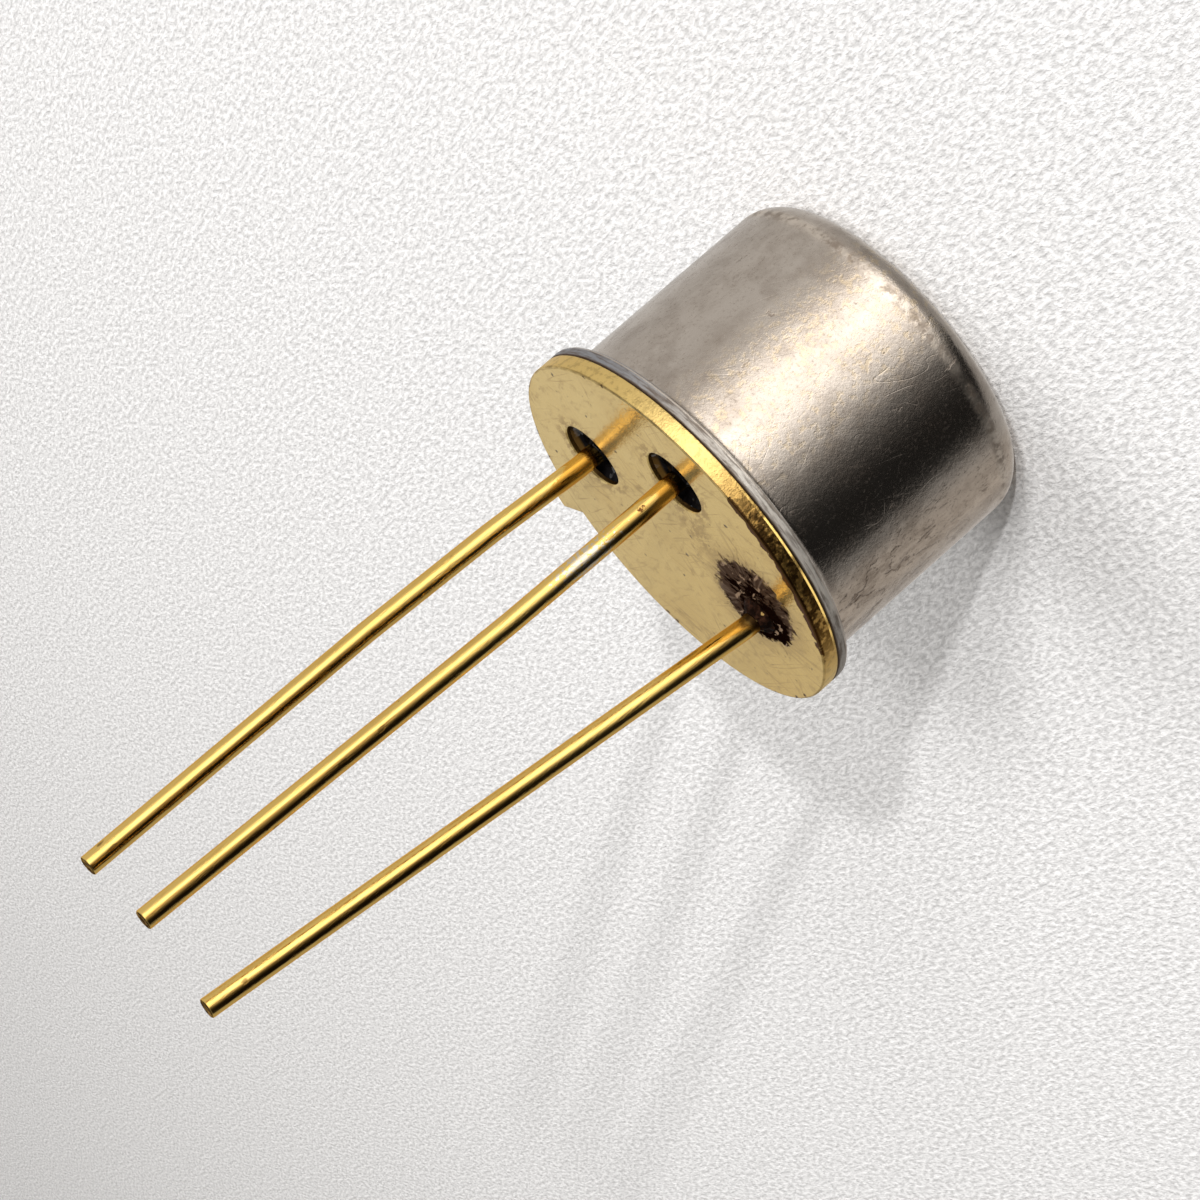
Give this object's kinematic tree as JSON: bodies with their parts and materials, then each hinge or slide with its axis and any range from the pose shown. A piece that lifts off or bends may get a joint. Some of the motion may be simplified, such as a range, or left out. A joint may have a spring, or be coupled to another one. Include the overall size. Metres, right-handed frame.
{
  "type": "npn transistor",
  "caption": "Metal-can npn transistor: a round drawn cap on a gold-plated header disc with an index tab, glass-sealed emitter and base leads and a welded collector lead.",
  "frame": {"origin": "on the can's axis, at the top of the can, on which the part stands with its leads up", "axes": "+Z along the can's axis towards the lead ends; +X from the axis towards the emitter lead; -Y towards the base lead; -X towards the collector lead; the index tab is between +X and +Y"},
  "size_m": [0.009, 0.009, 0.021],
  "materials": {
    "gold_plate": "satin gold plating on an iron-nickel-cobalt base",
    "nickel_plate": "satin nickel plating on drawn steel",
    "black_glass": "glossy fused glass",
    "weld_metal": "heat-stained weld metal",
    "solder": "satin solder",
    "silicon": "polished silicon",
    "aluminium_wire": "bright drawn wire"
  },
  "bodies": {
    "root": {"can": "nickel_plate", "header": "gold_plate", "emitter_seal": "black_glass", "base_seal": "black_glass", "emitter_lead": "gold_plate", "base_lead": "gold_plate", "collector_lead": "gold_plate", "collector_weld": "weld_metal", "die_attach": "solder", "die": "silicon", "emitter_wire": "aluminium_wire", "base_wire": "aluminium_wire"}
  },
  "joints": []
}
